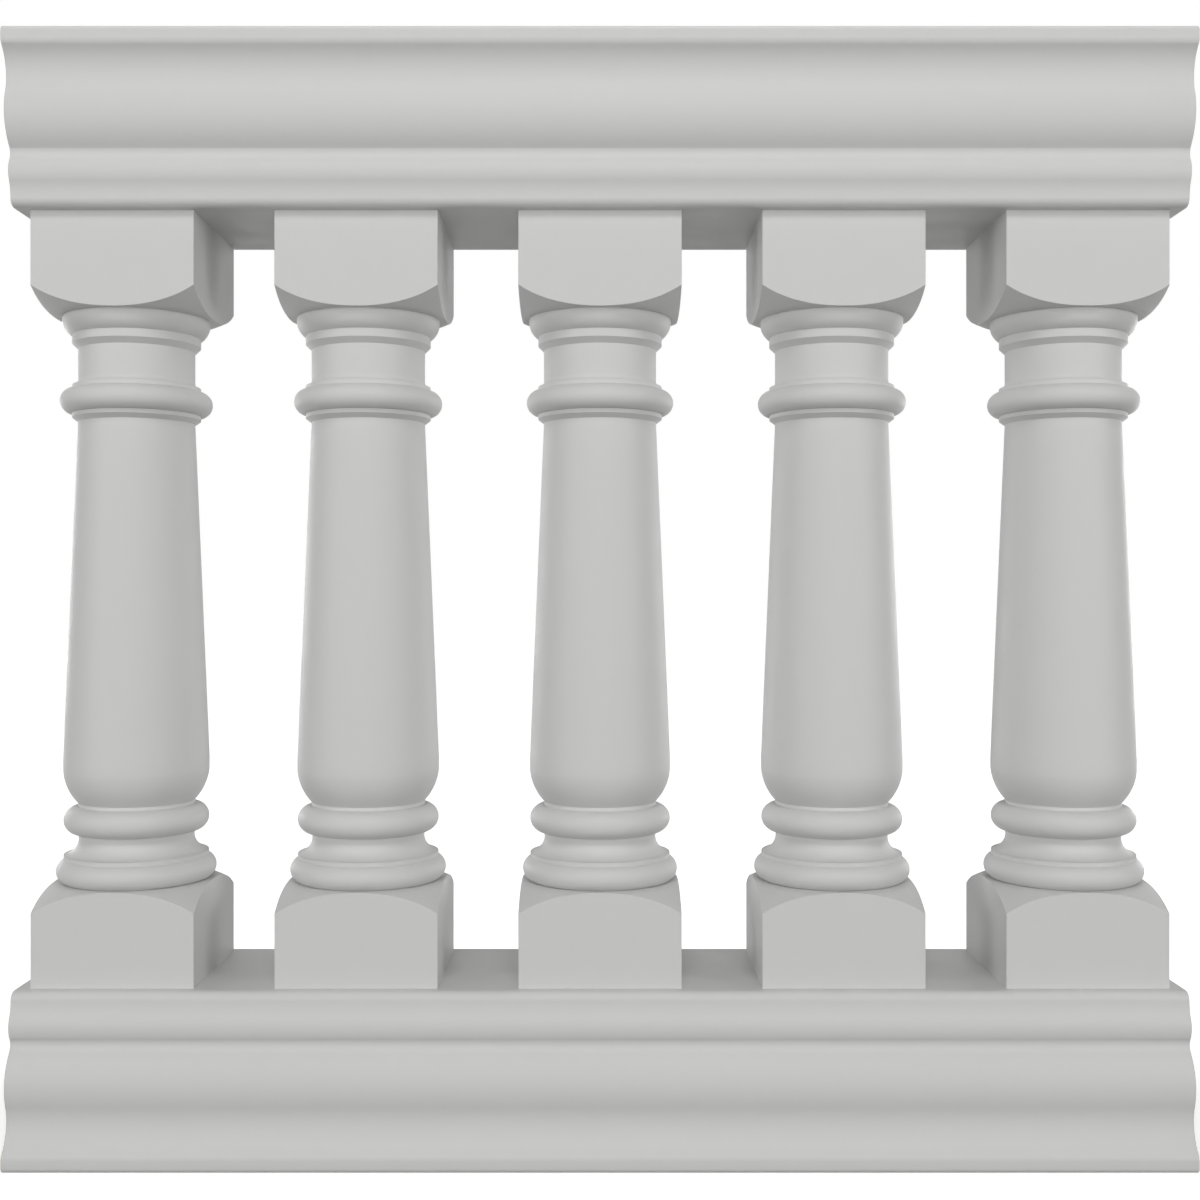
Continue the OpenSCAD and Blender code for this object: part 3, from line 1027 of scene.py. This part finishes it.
class OBJECT_OT_tie_rods(Operator):
    """Thread one tie rod at both ends and copy it up each baluster"""

    bl_idname = "object.balustrade_tie_rods"
    bl_label = "Tie Rods"

    def execute(self, context):
        s = context.scene.balustrade_steel
        low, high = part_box("tie_rod_1")
        radius = (high.x - low.x) / 2
        bottom, top = low.z, high.z
        overlap = 1 * MM
        # The shank is drawn a little slimmer than the crests, as on a rod with rolled threads.
        shank_radius = radius - 0.15 * MM
        piece = rod("tie_rod", shank_radius, (0, 0, bottom + s.thread_length), top - s.thread_length)
        for start, end in (
            (bottom - overlap, bottom + s.thread_length + overlap),
            (top - s.thread_length - overlap, top + overlap),
        ):
            cut(piece, thread(s, radius, start, end), "UNION")
        blank = rod("rod_blank", radius, (0, 0, bottom), top)
        bevelled(blank, rim_of(blank), s.rod_tip)
        cut(piece, blank, "INTERSECT")
        smooth(finished(outwards(piece), "zinc_plate"))
        for i, x in enumerate(BALUSTER_X, start=1):
            placed(copied(piece, f"threaded_rod_{i}", (x, 0, 0)), "plated_steel", f"tie_rod_{i}")
        bpy.data.objects.remove(piece)
        return {"FINISHED"}


class OBJECT_OT_plate_washers(Operator):
    """Cut one square plate washer and copy it under each nut"""

    bl_idname = "object.balustrade_plate_washers"
    bl_label = "Plate Washers"

    def execute(self, context):
        s = context.scene.balustrade_steel
        low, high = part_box("top_washer_1")
        shift = Vector((-BALUSTER_X[0], 0, -low.z))
        piece = block("plate_washer", low + shift, high + shift)
        bevelled(piece, along(piece, 2), s.washer_corner)
        bevelled(piece, rim_of(piece), s.washer_edge, 2)
        thickness = high.z - low.z
        cut(piece, rod("washer_hole", s.hole / 2, (0, 0, -thickness), 2 * thickness))
        smooth(finished(outwards(piece), "zinc_plate"))
        for rail in ("top", "bottom"):
            for i, x in enumerate(BALUSTER_X, start=1):
                name = f"{rail}_washer_{i}"
                twin = copied(piece, "plate_" + name, (x, 0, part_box(name)[0].z))
                placed(twin, "plated_steel", name)
        bpy.data.objects.remove(piece)
        return {"FINISHED"}


class OBJECT_OT_hex_nuts(Operator):
    """Cut one chamfered hexagon nut and copy it onto each end of the rods"""

    bl_idname = "object.balustrade_hex_nuts"
    bl_label = "Hex Nuts"

    def execute(self, context):
        s = context.scene.balustrade_steel
        width, height = s.nut_width, s.nut_height
        piece = rod("hex_nut", width / math.sqrt(3), (0, 0, 0), height, sides=6)
        # Both faces are chamfered at 30 degrees outside a circle a little smaller than the flats.
        inner, outer = width * 0.475, width * 0.62
        drop = (outer - inner) * math.tan(math.radians(30))
        cut(piece, turned("nut_blank", outline([
            (0, 0, 0), (inner, 0, 0), (outer, drop, 0),
            (outer, height - drop, 0), (inner, height, 0), (0, height, 0),
        ]), 96), "INTERSECT")
        rod_radius = size_of("tie_rod_1").x / 2
        clearance, sink, beyond = 0.05 * MM, 0.8 * MM, 1 * MM
        bore = rod_radius + clearance
        cut(piece, turned("nut_bore", outline([
            (0, -beyond, 0), (bore + sink + beyond, -beyond, 0), (bore, sink, 0),
            (bore, height - sink, 0), (bore + sink + beyond, height + beyond, 0),
            (0, height + beyond, 0),
        ]), 64))
        smooth(finished(outwards(piece), "zinc_plate"))
        # Each nut stopped at its own angle when it was tightened.
        turn = math.radians(17)
        for rail in ("top", "bottom"):
            for i, x in enumerate(BALUSTER_X, start=1):
                low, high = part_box(f"{rail}_washer_{i}")
                z = high.z if rail == "top" else low.z - height
                twin = copied(piece, f"{rail}_hex_nut_{i}", (x, 0, z))
                edit("SELECT")
                bpy.ops.transform.rotate(value=turn * i, orient_axis="Z", center_override=(x, 0, z))
                done()
                placed(twin, "plated_steel")
        bpy.data.objects.remove(piece)
        return {"FINISHED"}


# ---- Stage ----


class SCENE_OT_balustrade_stage(Operator):
    """Lay the floor, hang the soft lights and set up the camera"""

    bl_idname = "scene.balustrade_stage"
    bl_label = "Stage"

    def execute(self, context):
        scene = context.scene
        colours, lights = scene.balustrade_colours, scene.balustrade_lights
        bpy.ops.object.select_all(action="DESELECT")
        floor_width = 60
        bpy.ops.mesh.primitive_plane_add(size=floor_width, location=(0, 0, LOWEST.z))
        floor = started("floor")
        floor.data.materials.append(floor_material(colours))

        scene.world = studio_walls(lights.walls)
        # Places and sizes of the softboxes are in metres.
        softbox("high_softbox", (0, -3.0, 3.2), (2.0, 1.0), lights.high_power)
        softbox("low_softbox", (0, -3.3, 0.7), (2.0, 1.0), lights.low_power)
        softbox("top_strip", (0, 0, 3.0), (2.0, 0.3), lights.top_power)
        for side, name in ((-1, "left"), (1, "right")):
            softbox(f"{name}_softbox", (side * 3.2, -2.4, 1.0), (1.5, 1.5), lights.side_power)
            softbox(f"back_{name}_softbox", (side * 2.6, 2.6, 0.6), (1.2, 1.0), lights.back_power)

        # The camera looks level, from a hair under the middle. Sensor and lens are in millimetres.
        camera_distance, drop = 1.2262, 0.6 * MM
        bpy.ops.object.camera_add(location=(0, -camera_distance, MIDDLE.z - drop))
        camera = context.object
        camera.rotation_euler = (math.pi / 2, 0, 0)
        camera.data.sensor_width = 36
        camera.data.lens = 44.55
        scene.camera = camera
        scene.view_settings.view_transform = "Standard"
        return {"FINISHED"}


def seen_by_eye(tree):
    """1 for rays from the camera and for those seen in metal or glass, else 0."""
    ray = node(tree, "ShaderNodeLightPath")
    first = node(tree, "ShaderNodeMath", {"operation": "MAXIMUM"}, {
        0: ray.outputs["Is Camera Ray"], 1: ray.outputs["Is Glossy Ray"],
    })
    both = node(tree, "ShaderNodeMath", {"operation": "MAXIMUM"}, {
        0: first.outputs[0], 1: ray.outputs["Is Transmission Ray"],
    })
    return both.outputs[0]


def studio_walls(strength):
    """A world that is bright around the horizon, dark overhead and white to the eye."""
    world = bpy.data.worlds.new("studio")
    world.use_nodes = True
    tree = world.node_tree
    tree.nodes.clear()
    seen = seen_by_eye(tree)
    up = node(tree, "ShaderNodeSeparateXYZ", inputs={
        0: node(tree, "ShaderNodeTexCoord").outputs["Generated"],
    }).outputs["Z"]
    # The walls fade between about 14 and 26 degrees above the horizon.
    walls = node(tree, "ShaderNodeBackground", inputs={
        "Color": (1, 1, 1, 1), "Strength": between(tree, up, 0.25, 0.43, strength, 0.0),
    })
    white = node(tree, "ShaderNodeBackground", inputs={"Color": (1, 1, 1, 1), "Strength": 1.0})
    both = node(tree, "ShaderNodeMixShader", inputs={
        0: seen, 1: walls.outputs[0], 2: white.outputs[0],
    })
    node(tree, "ShaderNodeOutputWorld", inputs={"Surface": both.outputs[0]})
    return world


def softbox(name, place, size, watts):
    """A rectangular lamp of this width and height, turned to the middle of the balustrade."""
    bpy.ops.object.light_add(type="AREA", location=place)
    lamp = bpy.context.object
    lamp.name = name
    lamp.data.shape = "RECTANGLE"
    lamp.data.size, lamp.data.size_y = size
    lamp.data.energy = watts
    lamp.rotation_euler = (MIDDLE - lamp.location).to_track_quat("-Z", "Y").to_euler()


def floor_material(colours):
    """Matt paper: it sends a plain grey back to the pieces, and is white to the eye."""
    material = bpy.data.materials.new("matt_paper_floor")
    material.use_nodes = True
    tree = material.node_tree
    tree.nodes.clear()
    paper = node(tree, "ShaderNodeBsdfDiffuse", inputs={"Color": [*colours.floor, 1]})
    white = node(tree, "ShaderNodeBsdfDiffuse", inputs={"Color": (0.8, 0.8, 0.8, 1)})
    # Distance from the middle, counted in half lengths and half depths of the rails.
    half = (HIGHEST - LOWEST) / 2
    away = node(tree, "ShaderNodeVectorMath", {"operation": "LENGTH"}, {
        0: node(tree, "ShaderNodeMapping", inputs={
            "Vector": place_of(tree), "Scale": (1 / half.x, 1 / half.y, 0),
        }).outputs["Vector"],
    }).outputs["Value"]
    # The glow leaves the object's shadow beside the rails, and fills in to white farther off.
    glow = node(tree, "ShaderNodeEmission", inputs={
        "Color": (1, 1, 1, 1), "Strength": between(tree, away, 1.5, 6.0, 0.6, 1.0),
    })
    lifted = node(tree, "ShaderNodeAddShader", inputs={0: white.outputs[0], 1: glow.outputs[0]})
    both = node(tree, "ShaderNodeMixShader", inputs={
        0: seen_by_eye(tree), 1: paper.outputs[0], 2: lifted.outputs[0],
    })
    node(tree, "ShaderNodeOutputMaterial", inputs={"Surface": both.outputs[0]})
    return material


# ---- Panel and registration ----

STEPS = (
    OBJECT_OT_rail_mouldings,
    OBJECT_OT_closing_plates,
    OBJECT_OT_bonding_paste,
    OBJECT_OT_balusters,
    OBJECT_OT_stiffening_tubes,
    OBJECT_OT_tie_rods,
    OBJECT_OT_plate_washers,
    OBJECT_OT_hex_nuts,
    SCENE_OT_balustrade_stage,
)


class VIEW3D_PT_balustrade(Panel):
    """Buttons for each group of pieces, and their sizes"""

    bl_idname = "VIEW3D_PT_balustrade"
    bl_label = "Balustrade"
    bl_space_type = "VIEW_3D"
    bl_region_type = "UI"
    bl_category = "Balustrade"

    def draw(self, context):
        for step in STEPS:
            self.layout.operator(step.bl_idname)
        for group in GROUPS:
            settings = getattr(context.scene, group)
            for name in settings.__annotations__:
                self.layout.prop(settings, name)


GROUPS = {
    "balustrade_rails": RailSizes,
    "balustrade_balusters": BalusterSizes,
    "balustrade_steel": SteelSizes,
    "balustrade_colours": FinishColours,
    "balustrade_lights": StudioLights,
}
CLASSES = (*GROUPS.values(), *STEPS, VIEW3D_PT_balustrade)


def register():
    for cls in CLASSES:
        bpy.utils.register_class(cls)
    for name, group in GROUPS.items():
        setattr(bpy.types.Scene, name, PointerProperty(type=group))


def unregister():
    for name in GROUPS:
        delattr(bpy.types.Scene, name)
    for cls in reversed(CLASSES):
        bpy.utils.unregister_class(cls)


def main():
    """Registers the add-on, then builds every piece and the stage."""
    register()
    for step in STEPS:
        area, name = step.bl_idname.split(".")
        getattr(getattr(bpy.ops, area), name)()


if __name__ == "__main__":
    main()
